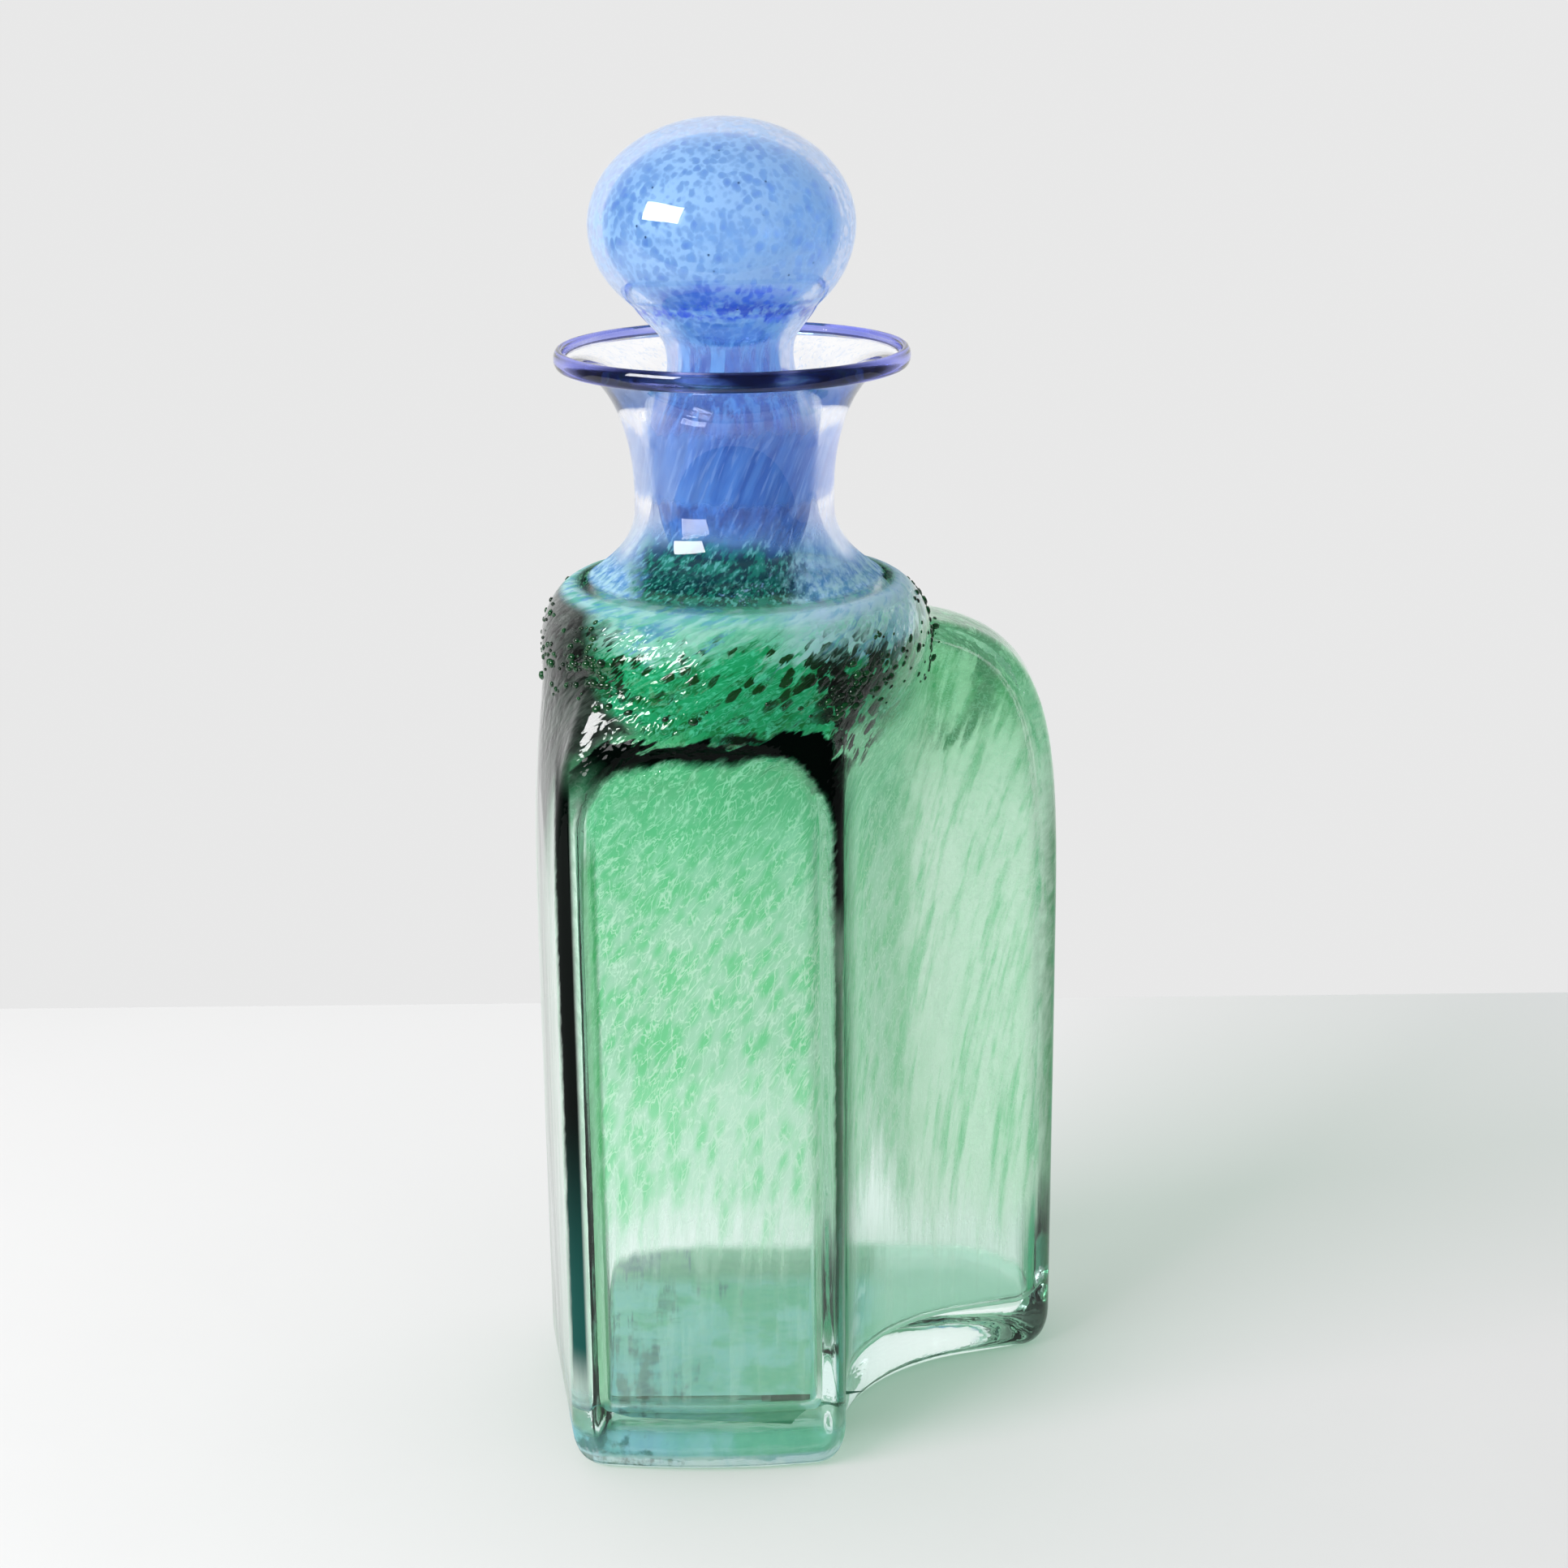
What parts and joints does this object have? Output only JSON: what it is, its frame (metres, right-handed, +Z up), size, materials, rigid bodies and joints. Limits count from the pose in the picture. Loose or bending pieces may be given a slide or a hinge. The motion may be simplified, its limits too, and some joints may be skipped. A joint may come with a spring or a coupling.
{
  "type": "stoppered decanter",
  "caption": "Blown glass decanter with a comma-shaped green body, a flared blue neck and a hollow ball stopper that lifts out.",
  "frame": {"origin": "middle of the neck axis on the flat underside of the body, on the table", "axes": "+Z up along the neck axis, the sunk arched panel faces -Y, the wing of the body reaches to +X"},
  "size_m": [0.1149, 0.0874, 0.2805],
  "materials": {
    "green_glass": "glossy mottled green, clear at the base",
    "blue_glass": "glossy streaked blue",
    "cobalt_glass": "glossy dark cobalt",
    "pale_blue_glass": "glossy mottled pale blue, ground on the taper"
  },
  "bodies": {
    "flask": {"flask_body": "green_glass", "neck": "blue_glass", "lip_wrap": "cobalt_glass"},
    "stopper": {"stopper": "pale_blue_glass"}
  },
  "joints": [
    {"name": "stopper_lift", "type": "slide", "parent": "flask", "child": "stopper", "axis": [0, 0, 1], "range_m": [0, 0.06]}
  ]
}
